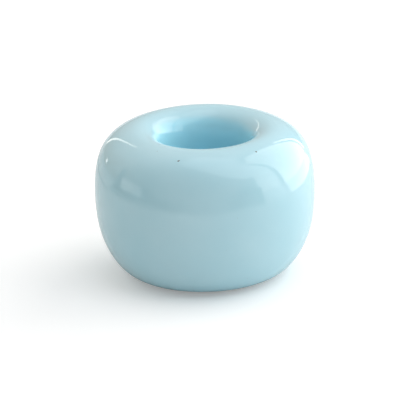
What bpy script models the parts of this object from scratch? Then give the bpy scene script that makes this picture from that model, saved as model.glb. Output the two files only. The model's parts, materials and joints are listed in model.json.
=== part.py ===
"""Ceramic toothbrush stand: a squat ring of fired clay under a coat of glossy glaze.

Run it with blender --background --python part.py, or from Blender's text editor.
Metres, +Z up. The origin is the centre of the foot, on the surface the stand rests on.
"""
import math

import bpy
from mathutils import Vector

MM = 0.001
OBJECT_NAME = "toothbrush_stand"

# Glazed outline, in mm: control points (radius, height) of one smooth spline. It runs from the foot
# up the bore, over the soft lip, round the fat outer wall and back in under the base to the foot.
BORE_AND_LIP = [(10.7, 0.7), (9.2, 0.9), (8.4, 2.8), (8.3, 6.0), (8.4, 18.0), (8.4, 24.4), (9.2, 28.6)]
CROWN_AND_WALL = [(12.45, 30.3), (15.7, 29.9), (19.4, 28.0), (21.7, 23.9), (22.3, 16.6)]
UNDERSIDE = [(21.5, 8.4), (17.9, 1.9), (15.2, 0.6), (13.2, 0.7)]

OUTLINE_POINTS = 31         # points read from the spline
TURN_STEPS = 48             # facets round the axis

GLAZE_THICKNESS = 0.5 * MM
GLAZE_GAP = 0.3 * MM        # between the glaze's inner face and the clay
FOOT_OUTER = 12.9 * MM      # bare ring of clay that the stand rests on
FOOT_INNER = 11.0 * MM
FOOT_EDGE = 0.25 * MM       # bevel on the ring's two edges

MERGE = 0.00001


def clear_scene():
    for thing in list(bpy.data.objects):
        bpy.data.objects.remove(thing, do_unlink=True)


def make_material(name, color, roughness, coat):
    material = bpy.data.materials.new(name)
    material.use_nodes = True
    shader = material.node_tree.nodes["Principled BSDF"]
    shader.inputs["Base Color"].default_value = (*color, 1.0)
    shader.inputs["Roughness"].default_value = roughness
    shader.inputs["Metallic"].default_value = 0.0
    shader.inputs["Coat Weight"].default_value = coat
    return material


def spline_point(controls, t):
    """Point of a clamped uniform cubic B-spline, by de Boor's rule; t runs from 0 to 1."""
    spans = len(controls) - 3
    knots = [0.0] * 3 + [i / spans for i in range(spans + 1)] + [1.0] * 3
    span = 3 + min(int(t * spans), spans - 1)
    points = [controls[span - 3 + i].copy() for i in range(4)]
    for level in range(1, 4):
        for i in range(3, level - 1, -1):
            low = knots[span - 3 + i]
            high = knots[span + 1 + i - level]
            points[i] = points[i - 1].lerp(points[i], (t - low) / (high - low))
    return points[3]


def glazed_outline():
    """Points (radius, 0, height) of the glazed surface, in metres, from the bore side of the foot."""
    controls = [Vector((r * MM, 0.0, z * MM)) for r, z in BORE_AND_LIP + CROWN_AND_WALL + UNDERSIDE]
    return [spline_point(controls, i / (OUTLINE_POINTS - 1)) for i in range(OUTLINE_POINTS)]


def inset(outline, depth):
    """The outline moved into the body by depth, square to itself."""
    moved = []
    last = len(outline) - 1
    for i, point in enumerate(outline):
        along = (outline[min(i + 1, last)] - outline[max(i - 1, 0)]).normalized()
        moved.append(point + Vector((along.z, 0.0, -along.x)) * depth)
    return moved


def turned(name, points, closed, material, collection):
    """Object made by turning a profile once round the Z axis."""
    mesh = bpy.data.meshes.new(name)
    count = len(points)
    edges = [(i, i + 1) for i in range(count - 1)]
    if closed:
        edges.append((count - 1, 0))
    mesh.from_pydata([tuple(point) for point in points], edges, [])
    mesh.materials.append(material)
    thing = bpy.data.objects.new(name, mesh)
    collection.objects.link(thing)
    screw = thing.modifiers.new("Turn", "SCREW")
    screw.axis = "Z"
    screw.angle = math.tau
    screw.steps = TURN_STEPS
    screw.render_steps = TURN_STEPS
    screw.use_merge_vertices = True
    screw.merge_threshold = MERGE
    screw.use_smooth_shade = True
    return thing


def build_clay_body(outline, collection):
    """Solid ring of fired clay: the outline's core, with the bare foot ring standing below it."""
    core = inset(outline, GLAZE_THICKNESS + GLAZE_GAP)
    shoulder_in = Vector((FOOT_INNER, 0.0, core[0].z))
    shoulder_out = Vector((FOOT_OUTER, 0.0, core[-1].z))
    foot = [
        shoulder_out,
        Vector((FOOT_OUTER, 0.0, FOOT_EDGE)),
        Vector((FOOT_OUTER - FOOT_EDGE, 0.0, 0.0)),
        Vector((FOOT_INNER + FOOT_EDGE, 0.0, 0.0)),
        Vector((FOOT_INNER, 0.0, FOOT_EDGE)),
        shoulder_in,
    ]
    clay = make_material("fired_clay", (0.72, 0.68, 0.60), 0.85, 0.0)
    return turned("clay_body", core + foot, True, clay, collection)


def build_glaze_coat(outline, collection):
    """Skin of glaze over everything but the foot ring, open where the ring comes through."""
    glaze = make_material("pale_blue_glaze", (0.49, 0.75, 0.84), 0.06, 0.6)
    coat = turned("glaze_coat", outline, False, glaze, collection)
    shell = coat.modifiers.new("Thickness", "SOLIDIFY")
    shell.thickness = GLAZE_THICKNESS
    shell.offset = -1.0
    shell.use_even_offset = True
    return coat


def main():
    clear_scene()
    collection = bpy.data.collections.new(OBJECT_NAME)
    bpy.context.scene.collection.children.link(collection)
    outline = glazed_outline()
    build_clay_body(outline, collection)
    build_glaze_coat(outline, collection)


main()
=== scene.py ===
# small glazed ceramic stand on a pale floor, metres, +Z up
import json
import math
import random

import bmesh
import bpy
from mathutils import Matrix, Vector, noise

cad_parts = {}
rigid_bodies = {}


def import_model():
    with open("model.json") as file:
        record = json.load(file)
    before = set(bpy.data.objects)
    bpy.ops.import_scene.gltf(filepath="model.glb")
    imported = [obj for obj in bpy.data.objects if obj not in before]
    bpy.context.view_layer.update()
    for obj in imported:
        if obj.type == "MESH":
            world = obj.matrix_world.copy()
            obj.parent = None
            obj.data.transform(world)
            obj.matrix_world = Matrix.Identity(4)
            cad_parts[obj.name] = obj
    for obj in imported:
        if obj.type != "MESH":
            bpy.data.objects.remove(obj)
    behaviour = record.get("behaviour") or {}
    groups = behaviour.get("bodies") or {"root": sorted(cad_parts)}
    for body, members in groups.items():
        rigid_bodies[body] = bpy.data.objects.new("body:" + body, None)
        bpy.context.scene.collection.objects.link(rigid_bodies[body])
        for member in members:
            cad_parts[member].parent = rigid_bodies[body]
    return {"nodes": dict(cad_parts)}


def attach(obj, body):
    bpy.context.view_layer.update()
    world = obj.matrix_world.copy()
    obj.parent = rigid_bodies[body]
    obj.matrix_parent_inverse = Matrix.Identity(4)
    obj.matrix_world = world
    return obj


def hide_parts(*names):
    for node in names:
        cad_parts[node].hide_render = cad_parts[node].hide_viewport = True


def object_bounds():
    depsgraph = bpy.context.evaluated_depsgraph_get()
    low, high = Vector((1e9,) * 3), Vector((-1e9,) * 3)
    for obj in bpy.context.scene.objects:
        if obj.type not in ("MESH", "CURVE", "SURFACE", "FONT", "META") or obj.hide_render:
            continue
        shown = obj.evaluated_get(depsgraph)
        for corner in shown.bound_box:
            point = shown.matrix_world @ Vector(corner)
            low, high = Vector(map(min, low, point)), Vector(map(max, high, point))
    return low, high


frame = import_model()
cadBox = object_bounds()
print("frame loaded:", ", ".join(sorted(frame["nodes"])))

mm = 0.001
random.seed(7)


# ---------- small helpers

def linkNew(name, mesh):
    thing = bpy.data.objects.new(name, mesh)
    bpy.context.scene.collection.objects.link(thing)
    return thing


def addNode(tree, kind, place, **values):
    node = tree.nodes.new(kind)
    node.location = place
    for key, value in values.items():
        setattr(node, key, value)
    return node


def newGroup(name, inputs, outputs):
    # inputs: (name, kind, default), outputs: (name, kind)
    group = bpy.data.node_groups.new(name, "ShaderNodeTree")
    for label, kind, default in inputs:
        socket = group.interface.new_socket(name=label, in_out="INPUT", socket_type=kind)
        if default is not None:
            socket.default_value = default
    for label, kind in outputs:
        group.interface.new_socket(name=label, in_out="OUTPUT", socket_type=kind)
    start = addNode(group, "NodeGroupInput", (-900, 0))
    end = addNode(group, "NodeGroupOutput", (700, 0))
    return group, start, end


def useGroup(tree, group, place, **values):
    node = addNode(tree, "ShaderNodeGroup", place, node_tree=group)
    node.label = group.name
    for key, value in values.items():
        node.inputs[key].default_value = value
    return node


# ---------- shape of the stand

standShape = {
    # control points (radius, height) in mm of one smooth outline, up the bore, over the lip,
    # down the outside and back in to the foot
    "boreAndLip": [(10.7, 0.7), (9.2, 0.9), (8.4, 2.8), (8.3, 6.0), (8.4, 18.0), (8.4, 24.4), (9.2, 28.6)],
    "crownAndWall": [(12.45, 30.3), (15.7, 29.9), (19.4, 28.0), (21.7, 23.9), (22.3, 16.6)],
    "underside": [(21.5, 8.4), (17.9, 1.9), (15.2, 0.6), (13.2, 0.7)],
    "outlinePoints": 150,
    "turns": 240,
    "lean": 0.37 * mm,                    # how far the mouth of the hole sits off centre
    "leanHeights": (8 * mm, 24 * mm),     # from none to all of the lean
    "leanRadii": (16 * mm, 9 * mm),
}


def outlinePoint(controls, t):
    # clamped uniform cubic B-spline, t from 0 to 1
    spans = len(controls) - 3
    knots = [0.0] * 3 + [i / spans for i in range(spans + 1)] + [1.0] * 3
    span = 3 + min(int(t * spans), spans - 1)
    near = [controls[span - 3 + i].copy() for i in range(4)]
    for level in range(1, 4):
        for i in range(3, level - 1, -1):
            low = knots[span - 3 + i]
            high = knots[span + 1 + i - level]
            near[i] = near[i - 1].lerp(near[i], (t - low) / (high - low))
    return near[3]


def readOutline(shape, count):
    rows = shape["boreAndLip"] + shape["crownAndWall"] + shape["underside"]
    controls = [Vector((r * mm, 0.0, z * mm)) for r, z in rows]
    return [outlinePoint(controls, i / (count - 1)) for i in range(count)]


def inset(outline, depth):
    moved = []
    last = len(outline) - 1
    for i, point in enumerate(outline):
        along = (outline[min(i + 1, last)] - outline[max(i - 1, 0)]).normalized()
        moved.append(point + Vector((along.z, 0.0, -along.x)) * depth)
    return moved


def arcBetween(a, b, bulge, count):
    # points of a half-round edge from a to b, both left out, bulging towards the vector
    middle = (a + b) / 2
    half = (a - b) / 2
    return [middle + half * math.cos(math.pi * i / count) + bulge * math.sin(math.pi * i / count)
            for i in range(1, count)]


def share(start, end, value):
    return min(1.0, max(0.0, (value - start) / (end - start)))


def smoothShare(start, end, value):
    t = share(start, end, value)
    return t * t * (3 - 2 * t)


def leanMouth(mesh, shape):
    # slides the upper part of the hole aside, with the lip that surrounds it
    for vert in mesh.vertices:
        radius = math.hypot(vert.co.x, vert.co.y)
        part = smoothShare(*shape["leanHeights"], vert.co.z) * smoothShare(*shape["leanRadii"], radius)
        vert.co.x += shape["lean"] * part
    mesh.update()


def turnProfile(name, profile, turns):
    # closed profile in the XZ plane, turned once round Z
    count = len(profile)
    corners, faces = [], []
    for i in range(turns):
        angle = math.tau * i / turns
        for point in profile:
            corners.append((point.x * math.cos(angle), point.x * math.sin(angle), point.z))
        after = (i + 1) % turns
        for j in range(count):
            beside = (j + 1) % count
            faces.append((i * count + j, i * count + beside, after * count + beside, after * count + j))
    mesh = bpy.data.meshes.new(name)
    mesh.from_pydata(corners, [], faces)
    mesh.shade_smooth()
    return linkNew(name, mesh)


# ---------- glaze coat

glazeCoat = {
    "thickness": 0.5 * mm,
    "roll": 0.22 * mm,        # how far the glaze's edge rolls out beside the foot
    "rollSteps": 8,
    "innerPoints": 40,
    "waver": 0.035 * mm,      # slow unevenness left by dipping
    "waverSize": 11 * mm,
    "trueFoot": (1.5 * mm, 5.5 * mm),     # heights below which there is none and above which all
}


def makeGlazeCoat(shape, coat):
    outer = readOutline(shape, shape["outlinePoints"])
    inner = inset(readOutline(shape, coat["innerPoints"]), coat["thickness"])
    outerRoll = arcBetween(outer[-1], inner[-1], Vector((-coat["roll"], 0, 0)), coat["rollSteps"])
    innerRoll = arcBetween(inner[0], outer[0], Vector((coat["roll"], 0, 0)), coat["rollSteps"])
    piece = turnProfile("glaze_skin", outer + outerRoll + inner[::-1] + innerRoll, shape["turns"])
    mesh = piece.data
    outward = [vert.normal.copy() for vert in mesh.vertices]
    for vert, normal in zip(mesh.vertices, outward):
        fade = share(*coat["trueFoot"], vert.co.z)
        vert.co += normal * coat["waver"] * fade * noise.noise(vert.co / coat["waverSize"])
    leanMouth(mesh, shape)
    return piece


glazeSkin = makeGlazeCoat(standShape, glazeCoat)
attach(glazeSkin, "root")
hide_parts("glaze_coat")
print("glaze coat:", len(glazeSkin.data.polygons), "faces")


# ---------- clay body with its bare foot ring

clayFoot = {
    "outer": 12.9 * mm,
    "inner": 11.0 * mm,
    "edge": 0.25 * mm,        # worn round where it meets the floor
    "edgeSteps": 5,
    "coreInset": 0.55 * mm,
    "corePoints": 70,
}


def makeClayBody(shape, foot):
    core = inset(readOutline(shape, foot["corePoints"]), foot["coreInset"])
    edge, steps = foot["edge"], foot["edgeSteps"]
    ring = [Vector((foot["outer"], 0, core[-1].z))]
    for i in range(steps + 1):
        turn = math.pi / 2 * i / steps
        ring.append(Vector((foot["outer"] - edge + edge * math.cos(turn), 0, edge - edge * math.sin(turn))))
    for i in range(steps + 1):
        turn = math.pi / 2 * i / steps
        ring.append(Vector((foot["inner"] + edge - edge * math.sin(turn), 0, edge - edge * math.cos(turn))))
    ring.append(Vector((foot["inner"], 0, core[0].z)))
    piece = turnProfile("clay_ring", core + ring, shape["turns"])
    leanMouth(piece.data, shape)
    return piece


clayRing = makeClayBody(standShape, clayFoot)
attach(clayRing, "root")
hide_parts("clay_body")
print("clay body:", len(clayRing.data.polygons), "faces")


# ---------- shared effects

def makeMottle():
    # slow cloudy variation, 0 to 1
    group, start, end = newGroup("mottle", [
        ("Place", "NodeSocketVector", None),
        ("Size", "NodeSocketFloat", 5 * mm),
        ("Contrast", "NodeSocketFloat", 1.0),
    ], [("Cloud", "NodeSocketFloat")])
    scale = addNode(group, "ShaderNodeMath", (-700, -100), operation="DIVIDE")
    scale.inputs[0].default_value = 1.0
    cloud = addNode(group, "ShaderNodeTexNoise", (-450, 0))
    cloud.inputs["Detail"].default_value = 3.0
    cloud.inputs["Roughness"].default_value = 0.45
    middle = addNode(group, "ShaderNodeMath", (-200, 0), operation="SUBTRACT")
    middle.inputs[1].default_value = 0.5
    spread = addNode(group, "ShaderNodeMath", (0, 0), operation="MULTIPLY")
    back = addNode(group, "ShaderNodeMath", (200, 0), operation="ADD", use_clamp=True)
    back.inputs[1].default_value = 0.5
    link = group.links.new
    link(start.outputs["Size"], scale.inputs[1])
    link(start.outputs["Place"], cloud.inputs["Vector"])
    link(scale.outputs[0], cloud.inputs["Scale"])
    link(cloud.outputs["Fac"], middle.inputs[0])
    link(middle.outputs[0], spread.inputs[0])
    link(start.outputs["Contrast"], spread.inputs[1])
    link(spread.outputs[0], back.inputs[0])
    link(back.outputs[0], end.inputs["Cloud"])
    return group


def makeSpecks():
    # sparse round dots, one at most in each cell, only in the share of cells that have one
    group, start, end = newGroup("specks", [
        ("Place", "NodeSocketVector", None),
        ("Spacing", "NodeSocketFloat", 3 * mm),
        ("Size", "NodeSocketFloat", 0.05),
        ("Share", "NodeSocketFloat", 0.3),
    ], [("Dots", "NodeSocketFloat")])
    scale = addNode(group, "ShaderNodeMath", (-700, -100), operation="DIVIDE")
    scale.inputs[0].default_value = 1.0
    cells = addNode(group, "ShaderNodeTexVoronoi", (-450, 0))
    split = addNode(group, "ShaderNodeSeparateColor", (-200, -150))
    chosen = addNode(group, "ShaderNodeMath", (0, -150), operation="LESS_THAN")
    reach = addNode(group, "ShaderNodeMath", (0, 150), operation="MULTIPLY")
    soft = addNode(group, "ShaderNodeMapRange", (200, 100), interpolation_type="SMOOTHSTEP")
    soft.inputs["To Min"].default_value = 1.0
    soft.inputs["To Max"].default_value = 0.0
    dots = addNode(group, "ShaderNodeMath", (450, 0), operation="MULTIPLY")
    link = group.links.new
    link(start.outputs["Spacing"], scale.inputs[1])
    link(start.outputs["Place"], cells.inputs["Vector"])
    link(scale.outputs[0], cells.inputs["Scale"])
    link(cells.outputs["Color"], split.inputs[0])
    link(split.outputs[0], chosen.inputs[0])
    link(start.outputs["Share"], chosen.inputs[1])
    link(split.outputs[1], reach.inputs[0])
    link(start.outputs["Size"], reach.inputs[1])
    link(cells.outputs["Distance"], soft.inputs["Value"])
    link(reach.outputs[0], soft.inputs["From Max"])
    link(soft.outputs["Result"], dots.inputs[0])
    link(chosen.outputs[0], dots.inputs[1])
    link(dots.outputs[0], end.inputs["Dots"])
    return group


def makeRelief():
    # fine unevenness for a Bump node: long soft waves and short grain, each with its own share
    group, start, end = newGroup("relief", [
        ("Place", "NodeSocketVector", None),
        ("Wave Size", "NodeSocketFloat", 3 * mm),
        ("Grain Size", "NodeSocketFloat", 0.3 * mm),
        ("Grain Share", "NodeSocketFloat", 0.1),
    ], [("Height", "NodeSocketFloat")])
    heights = []
    for row, size in enumerate(("Wave Size", "Grain Size")):
        scale = addNode(group, "ShaderNodeMath", (-700, -200 * row), operation="DIVIDE")
        scale.inputs[0].default_value = 1.0
        bumps = addNode(group, "ShaderNodeTexNoise", (-450, -200 * row))
        bumps.inputs["Detail"].default_value = 1.0
        group.links.new(start.outputs[size], scale.inputs[1])
        group.links.new(start.outputs["Place"], bumps.inputs["Vector"])
        group.links.new(scale.outputs[0], bumps.inputs["Scale"])
        heights.append(bumps.outputs["Fac"])
    total = addNode(group, "ShaderNodeMath", (0, 0), operation="MULTIPLY_ADD")
    group.links.new(heights[1], total.inputs[0])
    group.links.new(start.outputs["Grain Share"], total.inputs[1])
    group.links.new(heights[0], total.inputs[2])
    group.links.new(total.outputs[0], end.inputs["Height"])
    return group


mottle, specks, relief = makeMottle(), makeSpecks(), makeRelief()
print("shared effects done")


# ---------- materials

def blend(tree, place, mask, below, above):
    # mixes two colours, each a plain colour or a socket, by a mask socket
    mix = addNode(tree, "ShaderNodeMix", place, data_type="RGBA")
    colorIn = [socket for socket in mix.inputs if socket.type == "RGBA"]
    colorOut = [socket for socket in mix.outputs if socket.type == "RGBA"][0]
    tree.links.new(mask, mix.inputs[0])
    for socket, value in zip(colorIn, (below, above)):
        if isinstance(value, tuple):
            socket.default_value = value
        else:
            tree.links.new(value, socket)
    return colorOut


def ramp(tree, place, value, start, end, low=0.0, high=1.0):
    # smooth step of a value socket between start and end
    step = addNode(tree, "ShaderNodeMapRange", place, interpolation_type="SMOOTHSTEP")
    for name, number in (("From Min", start), ("From Max", end), ("To Min", low), ("To Max", high)):
        step.inputs[name].default_value = number
    tree.links.new(value, step.inputs["Value"])
    return step.outputs["Result"]


def newMaterial(name):
    material = bpy.data.materials.new(name)
    material.use_nodes = True
    tree = material.node_tree
    shader = tree.nodes["Principled BSDF"]
    shader.location = (900, 0)
    tree.nodes["Material Output"].location = (1250, 0)
    place = addNode(tree, "ShaderNodeTexCoord", (-1500, 0)).outputs["Object"]
    return material, tree, shader, place


glazeLook = {
    "thin": (0.505, 0.762, 0.845, 1),         # where the glaze lies thin
    "thick": (0.445, 0.722, 0.812, 1),
    "pooledAndShade": (0.405, 0.775, 0.90, 1),       # glaze run together inside the hole, with painted shade of the bore
    "worn": (0.56, 0.79, 0.86, 1),          # thinned over the top of the ring
    "cloudSize": 9 * mm,
    "cloudContrast": 1.6,
    "hole": (9.3 * mm, 10.6 * mm),          # radii between which the run-together glaze and painted bore shade fade out
    "top": (28.6 * mm, 30.0 * mm),          # heights between which it thins
    "topShare": 0.45,
    "foot": (0.6 * mm, 4.5 * mm),           # and the thicker glaze above the foot
    "roughness": (0.02, 0.045),
    "relief": 0.0035 * mm,
    "reliefWave": 3.2 * mm,
    "speck": (0.13, 0.105, 0.09, 1),
    "fineSpeck": (0.34, 0.47, 0.50, 1),
}

# iron specks in the glaze: place in mm, radius in mm, how dark
ironSpecks = [
    ((-5.04, -16.43, 29.07), 0.25, 0.95),
    ((-4.84, -16.37, 29.13), 0.17, 0.8),
    ((10.25, -13.07, 29.34), 0.27, 1.0),
    ((-9.13, -12.39, 29.77), 0.16, 0.4),
]


def makeGlaze(look):
    material, tree, shader, place = newMaterial("pale blue glaze")
    link = tree.links.new
    split = addNode(tree, "ShaderNodeSeparateXYZ", (-1300, -300))
    flat = addNode(tree, "ShaderNodeVectorMath", (-1300, -500), operation="MULTIPLY")
    flat.inputs[1].default_value = (1, 1, 0)
    radius = addNode(tree, "ShaderNodeVectorMath", (-1100, -500), operation="LENGTH")
    link(place, split.inputs[0])
    link(place, flat.inputs[0])
    link(flat.outputs[0], radius.inputs[0])
    height = split.outputs["Z"]

    cloud = useGroup(tree, mottle, (-1100, 300), Size=look["cloudSize"], Contrast=look["cloudContrast"])
    link(place, cloud.inputs["Place"])
    color = blend(tree, (-800, 300), cloud.outputs["Cloud"], look["thin"], look["thick"])
    top = ramp(tree, (-1000, 0), height, *look["top"], high=look["topShare"])
    color = blend(tree, (-600, 200), top, color, look["worn"])
    foot = ramp(tree, (-1000, -200), height, *look["foot"], low=1.0, high=0.0)
    color = blend(tree, (-400, 100), foot, color, look["thick"])
    # painted shade: the bore is coloured deeper and more saturated, partly for glaze running together there and
    # partly standing in for its shade
    inside = ramp(tree, (-900, -500), radius.outputs["Value"], *look["hole"], low=1.0, high=0.0)
    color = blend(tree, (-200, 0), inside, color, look["pooledAndShade"])

    fine = useGroup(tree, specks, (-800, -800), Spacing=1.9 * mm, Size=0.06, Share=0.35)
    link(place, fine.inputs["Place"])
    color = blend(tree, (0, -100), fine.outputs["Dots"], color, look["fineSpeck"])
    for i, (spot, size, dark) in enumerate(ironSpecks):
        away = addNode(tree, "ShaderNodeVectorMath", (-400, -1100 - 180 * i), operation="DISTANCE")
        away.inputs[1].default_value = Vector(spot) * mm
        link(place, away.inputs[0])
        mask = ramp(tree, (-200, -1100 - 180 * i), away.outputs["Value"], 0.35 * size * mm, size * mm,
                    low=dark, high=0.0)
        color = blend(tree, (150 + 60 * i, -200), mask, color, look["speck"])
    link(color, shader.inputs["Base Color"])

    smudge = useGroup(tree, mottle, (-1100, 600), Size=4 * mm, Contrast=1.5)
    link(place, smudge.inputs["Place"])
    gloss = ramp(tree, (-800, 600), smudge.outputs["Cloud"], 0.0, 1.0, *look["roughness"])
    link(gloss, shader.inputs["Roughness"])

    uneven = useGroup(tree, relief, (300, -700))
    uneven.inputs["Wave Size"].default_value = look["reliefWave"]
    uneven.inputs["Grain Size"].default_value = 0.9 * mm
    uneven.inputs["Grain Share"].default_value = 0.05
    link(place, uneven.inputs["Place"])
    bump = addNode(tree, "ShaderNodeBump", (600, -600))
    bump.inputs["Distance"].default_value = look["relief"]
    link(uneven.outputs["Height"], bump.inputs["Height"])
    link(bump.outputs[0], shader.inputs["Normal"])
    shader.inputs["IOR"].default_value = 1.6
    return material


clayLook = {
    "light": (0.70, 0.65, 0.57, 1),
    "dark": (0.55, 0.49, 0.41, 1),
    "blush": (0.50, 0.36, 0.25, 1),         # iron drawn up beside the glaze line
    "blushRange": (0.35 * mm, 0.75 * mm),
    "rubbed": (0.42, 0.40, 0.37, 1),        # grey where it has slid on shelves
    "speck": (0.23, 0.16, 0.11, 1),
}


def makeClay(look):
    material, tree, shader, place = newMaterial("bare clay")
    link = tree.links.new
    height = addNode(tree, "ShaderNodeSeparateXYZ", (-1300, -300))
    link(place, height.inputs[0])
    cloud = useGroup(tree, mottle, (-1100, 300), Size=2.5 * mm, Contrast=2.0)
    link(place, cloud.inputs["Place"])
    color = blend(tree, (-800, 300), cloud.outputs["Cloud"], look["light"], look["dark"])
    blush = ramp(tree, (-1000, 0), height.outputs["Z"], *look["blushRange"], high=0.6)
    color = blend(tree, (-600, 200), blush, color, look["blush"])
    rubbed = ramp(tree, (-1000, -200), height.outputs["Z"], 0.0, 0.1 * mm, low=0.45, high=0.0)
    color = blend(tree, (-400, 100), rubbed, color, look["rubbed"])
    dots = useGroup(tree, specks, (-800, -500), Spacing=0.8 * mm, Size=0.22, Share=0.4)
    link(place, dots.inputs["Place"])
    color = blend(tree, (-100, 0), dots.outputs["Dots"], color, look["speck"])
    link(color, shader.inputs["Base Color"])
    gloss = ramp(tree, (-800, 600), cloud.outputs["Cloud"], 0.0, 1.0, 0.75, 0.92)
    link(gloss, shader.inputs["Roughness"])
    grain = useGroup(tree, relief, (300, -500))
    grain.inputs["Wave Size"].default_value = 0.8 * mm
    grain.inputs["Grain Size"].default_value = 0.15 * mm
    grain.inputs["Grain Share"].default_value = 0.8
    link(place, grain.inputs["Place"])
    bump = addNode(tree, "ShaderNodeBump", (600, -400))
    bump.inputs["Distance"].default_value = 0.05 * mm
    link(grain.outputs["Height"], bump.inputs["Height"])
    link(bump.outputs[0], shader.inputs["Normal"])
    return material


glazeSkin.data.materials.append(makeGlaze(glazeLook))
clayRing.data.materials.append(makeClay(clayLook))
print("materials done")


# ---------- floor, light and camera

floorSetup = {
    "size": 1.6,
    "color": (0.85, 0.85, 0.85, 1),
    "lift": 0.25,             # how much whiter the camera sees it
}


def makeFloor(setup):
    shape = bmesh.new()
    bmesh.ops.create_circle(shape, cap_ends=True, segments=96, radius=setup["size"])
    mesh = bpy.data.meshes.new("floor")
    shape.to_mesh(mesh)
    shape.free()
    floor = linkNew("floor", mesh)
    material = bpy.data.materials.new("floor white")
    material.use_nodes = True
    shader = material.node_tree.nodes["Principled BSDF"]
    shader.inputs["Base Color"].default_value = setup["color"]
    shader.inputs["Roughness"].default_value = 0.9
    shader.inputs["Specular IOR Level"].default_value = 0.0
    tree = material.node_tree
    path = addNode(tree, "ShaderNodeLightPath", (-400, -300))
    extra = addNode(tree, "ShaderNodeMath", (-200, -300), operation="MULTIPLY")
    extra.inputs[1].default_value = setup["lift"]
    tree.links.new(path.outputs["Is Camera Ray"], extra.inputs[0])
    tree.links.new(extra.outputs[0], shader.inputs["Emission Strength"])
    shader.inputs["Emission Color"].default_value = (1, 1, 1, 1)
    mesh.materials.append(material)


# A panel hangs square to its azimuth, which is measured from the camera's side to the right.
# Its outline is in units of its distance, as seen from the stand, so it covers the same angles
# wherever it stands. Its light is how bright its top is, and its glow is what is added
# towards its lower edge, falling off upwards as fast as its fall says.
panels = [
    {"name": "windowMain", "azimuth": 113, "distance": 1.2, "light": 1.8, "glow": 1.9, "fall": 3,
     "color": (1, 0.98, 0.95, 1),
     "outline": [(-0.40, 0.0), (-0.44, 0.4), (-0.37, 1.1), (-0.32, 2.1), (0.38, 2.1), (0.72, 1.6),
                 (0.86, 1.3), (0.84, 1.0), (0.74, 0.7), (0.68, 0.4), (0.60, 0.0)]},
    {"name": "windowSide", "azimuth": 113, "distance": 1.2, "light": 1.85, "glow": 0.3, "fall": 3,
     "color": (0.98, 1, 1, 1),
     "outline": [(-1.36, 0.0), (-1.43, 0.6), (-1.36, 1.4), (-0.95, 2.0), (-0.62, 2.3), (-0.46, 2.1),
                 (-0.50, 1.1), (-0.57, 0.4), (-0.53, 0.0)]},
    {"name": "windowFar", "azimuth": 113, "distance": 1.2, "light": 2.4, "glow": 2.0, "fall": 3,
     "color": (1, 1, 1, 1),
     "outline": [(0.66, 0.0), (0.74, 0.4), (0.81, 0.7), (0.92, 1.0), (1.0, 1.0), (0.9, 0.7),
                 (0.82, 0.4), (0.74, 0.0)]},
    {"name": "doorGap", "azimuth": -158, "distance": 1.2, "light": 2.6, "glow": 0.0, "fall": 1,
     "color": (1, 0.94, 0.86, 1),
     "outline": [(-0.02, 0.0), (-0.02, 0.75), (0.02, 0.75), (0.02, 0.0)]},
    {"name": "tableLamp", "azimuth": -134, "distance": 1.2, "light": 3.0, "glow": 0.0, "fall": 1,
     "color": (1, 0.95, 0.9, 1),
     "outline": [(-0.03, 0.05), (-0.03, 0.14), (0.03, 0.14), (0.03, 0.05)]},
]

# light from the window on the ceiling, its outline in units of the ceiling's height
ceilingPatch = {
    "name": "ceilingPatch",
    "height": 1.5,
    "light": 1.45,
    "color": (0.94, 1, 1.05, 1),
    "outline": [(-0.05, 0.6), (-0.25, 0.03), (-0.05, -0.3), (0.3, -0.78), (1.24, -1.11), (1.3, -0.6),
                (0.6, -0.1), (0.4, 0.05), (0.25, 0.39)],
}

# Soft glows of the room: how bright each is in its middle, and how tightly it falls off round it.
glows = [
    {"azimuth": 0, "elevation": 90, "tightness": 0, "color": (0.36, 0.36, 0.35)},
    {"azimuth": 90, "elevation": 12, "tightness": 6, "color": (0.15, 0.15, 0.14)},
    {"azimuth": 60, "elevation": 50, "tightness": 6, "color": (0.15, 0.18, 0.22)},
    {"azimuth": 120, "elevation": 50, "tightness": 6, "color": (0.05, 0.05, 0.05)},
    {"azimuth": -120, "elevation": 50, "tightness": 6, "color": (0.6, 0.56, 0.52)},
    {"azimuth": 180, "elevation": 50, "tightness": 6, "color": (0.05, 0.07, 0.1)},
    {"azimuth": 180, "elevation": 12, "tightness": 6, "color": (0.05, 0.05, 0.05)},
    {"azimuth": -135, "elevation": 12, "tightness": 6, "color": (0.25, 0.1, 0.0)},
]


def direction(azimuth, elevation):
    a, e = math.radians(azimuth), math.radians(elevation)
    return Vector((math.sin(a) * math.cos(e), -math.cos(a) * math.cos(e), math.sin(e)))


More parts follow.
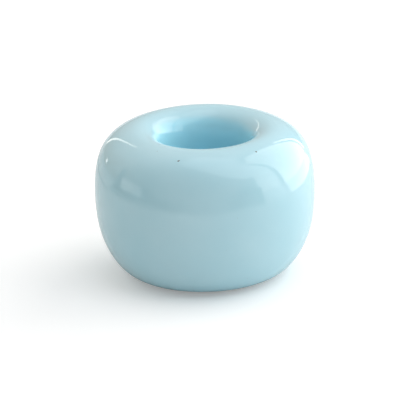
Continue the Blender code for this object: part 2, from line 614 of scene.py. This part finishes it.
def emitFace(name, corners, look):
    # one flat face that shines towards the stand only and that the camera doesn't see
    shape = bmesh.new()
    face = shape.faces.new([shape.verts.new(corner) for corner in corners])
    face.normal_update()
    if face.normal.dot(face.calc_center_median() - Vector((0, 0, 0.015))) > 0:
        face.normal_flip()
    mesh = bpy.data.meshes.new(name)
    shape.to_mesh(mesh)
    shape.free()
    thing = linkNew(name, mesh)
    material = bpy.data.materials.new(name)
    material.use_nodes = True
    tree = material.node_tree
    tree.nodes.clear()
    out = addNode(tree, "ShaderNodeOutputMaterial", (400, 0))
    choose = addNode(tree, "ShaderNodeMixShader", (200, 0))
    side = addNode(tree, "ShaderNodeNewGeometry", (-200, 200))
    clear = addNode(tree, "ShaderNodeBsdfTransparent", (-200, -200))
    light = addNode(tree, "ShaderNodeEmission", (0, 0))
    light.inputs["Color"].default_value = look["color"]
    light.inputs["Strength"].default_value = look["light"]
    if look.get("glow"):
        place = addNode(tree, "ShaderNodeTexCoord", (-1000, 0))
        split = addNode(tree, "ShaderNodeSeparateXYZ", (-800, 0))
        down = addNode(tree, "ShaderNodeMath", (-600, 0), operation="SUBTRACT")
        down.inputs[0].default_value = 1.0
        fall = addNode(tree, "ShaderNodeMath", (-400, 0), operation="POWER")
        fall.inputs[1].default_value = look["fall"]
        strength = addNode(tree, "ShaderNodeMath", (-200, 0), operation="MULTIPLY_ADD")
        strength.inputs[1].default_value = look["glow"]
        strength.inputs[2].default_value = look["light"]
        tree.links.new(place.outputs["Generated"], split.inputs[0])
        tree.links.new(split.outputs["Z"], down.inputs[1])
        tree.links.new(down.outputs[0], fall.inputs[0])
        tree.links.new(fall.outputs[0], strength.inputs[0])
        tree.links.new(strength.outputs[0], light.inputs["Strength"])
    tree.links.new(side.outputs["Backfacing"], choose.inputs[0])
    tree.links.new(light.outputs[0], choose.inputs[1])
    tree.links.new(clear.outputs[0], choose.inputs[2])
    tree.links.new(choose.outputs[0], out.inputs[0])
    mesh.materials.append(material)
    thing.visible_camera = False
    thing.visible_shadow = False


def makePanel(panel):
    away = direction(panel["azimuth"], 0)
    across = Vector((-away.y, away.x, 0))          # towards larger azimuths
    up = Vector((0, 0, 1))
    corners = [(away + across * u + up * v) * panel["distance"] for u, v in panel["outline"]]
    emitFace(panel["name"], corners, panel)


def makeCeilingPatch(patch):
    corners = [Vector((x, y, 1)) * patch["height"] for x, y in patch["outline"]]
    emitFace(patch["name"], corners, patch)


# Painted shade seen only in reflections: sheets, most of them dark, that stand for the shaded room round the
# table's edge, each a mat from near to far and a low wall standing at its end, with one height for each of its
# equal steps between the two azimuths.
flags = [
    {"azimuths": (-108, 60), "near": 0.115, "far": 0.45, "grey": 0.35,
     "heights": [0.03, 0.06, 0.08, 0.05, 0.04, 0.04, 0.05, 0.06, 0.05, 0.07, 0.08, 0.06]},
    {"azimuths": (-103, -91), "near": 0.17, "far": 0.42, "grey": 0.01, "heights": [0.20, 0.13]},
    {"azimuths": (-90, -71), "near": 0.14, "far": 0.42, "grey": 0.01, "heights": [0.01, 0.03, 0.0]},
    {"azimuths": (-66, -48), "near": 0.17, "far": 0.42, "grey": 0.01, "heights": [0.08, 0.05, 0.03]},
    {"azimuths": (-47, -18), "near": 0.14, "far": 0.30, "grey": 0.01, "heights": [0.02, 0.015, 0.02]},
    {"azimuths": (22, 60), "near": 0.14, "far": 0.42, "grey": 0.01, "heights": [0.05, 0.11, 0.13, 0.08]},
    {"azimuths": (-96, -69), "near": 0.30, "far": 0.40, "grey": 0.8, "heights": [0.10, 0.09, 0.08]},
    # painted shadow: a thin dark strip whose reflection stands for the edge of a shadow on the table
    {"azimuths": (-156, -110), "near": 0.098, "far": 0.104, "grey": 0.01, "heights": [0.0, 0.0, 0.0, 0.0]},
]


def makeFlag(number, flag):
    start, end = flag["azimuths"]
    steps = len(flag["heights"])
    lift = Vector((0, 0, 0.0002 * (number + 1)))
    shape = bmesh.new()
    for i, height in enumerate(flag["heights"]):
        sides = [direction(start + (end - start) * (i + k) / steps, 0) for k in (0, 1)]
        near = [shape.verts.new(side * flag["near"] + lift) for side in sides]
        far = [shape.verts.new(side * flag["far"] + lift) for side in sides]
        top = [shape.verts.new(side * flag["far"] + lift + Vector((0, 0, height))) for side in sides]
        shape.faces.new((near[0], near[1], far[1], far[0]))
        if height > 0:
            shape.faces.new((far[0], far[1], top[1], top[0]))
    mesh = bpy.data.meshes.new("flag")
    shape.to_mesh(mesh)
    shape.free()
    thing = linkNew("flag", mesh)
    material = bpy.data.materials.new("painted shade grey")
    material.use_nodes = True
    shader = material.node_tree.nodes["Principled BSDF"]
    # painted shade: the grey the glaze reflects in place of the room's shaded parts
    shader.inputs["Base Color"].default_value = (flag["grey"], flag["grey"], flag["grey"], 1)
    shader.inputs["Roughness"].default_value = 0.9
    shader.inputs["Specular IOR Level"].default_value = 0.0
    mesh.materials.append(material)
    thing.visible_camera = False      # it shows in the glaze only
    thing.visible_diffuse = False
    thing.visible_shadow = False


# light lying on the floor on the window's side, in wedges between two azimuths
tableGlows = [
    {"azimuths": (92, 143), "near": 0.115, "far": 1.15, "lift": 0.0005, "light": 2.5, "color": (1, 0.98, 0.95, 1)},
    {"azimuths": (61, 87), "near": 0.115, "far": 1.15, "lift": 0.0005, "light": 1.35, "color": (1, 1, 1, 1)},
]


def makeTableGlow(glow):
    start, end = [direction(azimuth, 0) for azimuth in glow["azimuths"]]
    lift = Vector((0, 0, glow["lift"]))
    near, far = glow["near"], glow["far"]
    emitFace("tableGlow", [place + lift for place in (start * near, end * near, end * far, start * far)], glow)


def makeWorld(glows):
    world = bpy.data.worlds.new("room")
    bpy.context.scene.world = world
    world.use_nodes = True
    tree = world.node_tree
    tree.nodes.clear()
    out = addNode(tree, "ShaderNodeOutputWorld", (1200, 0))
    mix = addNode(tree, "ShaderNodeMixShader", (1000, 0))
    path = addNode(tree, "ShaderNodeLightPath", (800, 300))
    way = addNode(tree, "ShaderNodeTexCoord", (-600, 0)).outputs["Generated"]
    total = None
    for i, glow in enumerate(glows):
        toward = addNode(tree, "ShaderNodeVectorMath", (-400, -200 * i), operation="DOT_PRODUCT")
        toward.inputs[1].default_value = direction(glow["azimuth"], glow["elevation"])
        front = addNode(tree, "ShaderNodeMath", (-200, -200 * i), operation="MAXIMUM")
        front.inputs[1].default_value = 0.0001
        fall = addNode(tree, "ShaderNodeMath", (0, -200 * i), operation="POWER")
        fall.inputs[1].default_value = glow["tightness"]
        tint = addNode(tree, "ShaderNodeVectorMath", (200, -200 * i), operation="SCALE")
        tint.inputs[0].default_value = glow["color"]
        tree.links.new(way, toward.inputs[0])
        tree.links.new(toward.outputs["Value"], front.inputs[0])
        tree.links.new(front.outputs[0], fall.inputs[0])
        tree.links.new(fall.outputs[0], tint.inputs["Scale"])
        if total is None:
            total = tint.outputs[0]
            continue
        plus = addNode(tree, "ShaderNodeVectorMath", (400, -200 * i), operation="ADD")
        tree.links.new(total, plus.inputs[0])
        tree.links.new(tint.outputs[0], plus.inputs[1])
        total = plus.outputs[0]
    room = addNode(tree, "ShaderNodeBackground", (800, 0))
    tree.links.new(total, room.inputs["Color"])
    seen = addNode(tree, "ShaderNodeBackground", (800, -200))
    seen.inputs["Color"].default_value = (1, 1, 1, 1)
    tree.links.new(path.outputs["Is Camera Ray"], mix.inputs[0])
    tree.links.new(room.outputs[0], mix.inputs[1])
    tree.links.new(seen.outputs[0], mix.inputs[2])
    tree.links.new(mix.outputs[0], out.inputs[0])


cameraSetup = {
    "azimuth": 0.0,
    "elevation": 20.6,
    "roll": 1.6,
    "distance": 0.704,
    "lens": 315.6,
    "slide": (-1.01 * mm, -0.35 * mm),   # right and up, in the picture's own directions
}


def makeCamera(setup, low, high):
    data = bpy.data.cameras.new("camera")
    data.lens = setup["lens"]
    data.sensor_width = 36.0
    data.clip_start = 0.01
    camera = linkNew("camera", data)
    middle = (low + high) / 2
    back = direction(setup["azimuth"], setup["elevation"])
    turn = back.to_track_quat("Z", "Y").to_matrix() @ Matrix.Rotation(math.radians(-setup["roll"]), 3, "Z")
    aside, above = setup["slide"]
    place = middle + back * setup["distance"] + turn @ Vector((aside, above, 0))
    camera.matrix_world = Matrix.Translation(place) @ turn.to_4x4()
    bpy.context.scene.camera = camera


makeFloor(floorSetup)
for panel in panels:
    makePanel(panel)
makeCeilingPatch(ceilingPatch)
for glow in tableGlows:
    makeTableGlow(glow)
for number, flag in enumerate(flags):
    makeFlag(number, flag)
makeWorld(glows)
makeCamera(cameraSetup, *cadBox)
bpy.context.scene.view_settings.view_transform = "Standard"
print("floor, light and camera done")
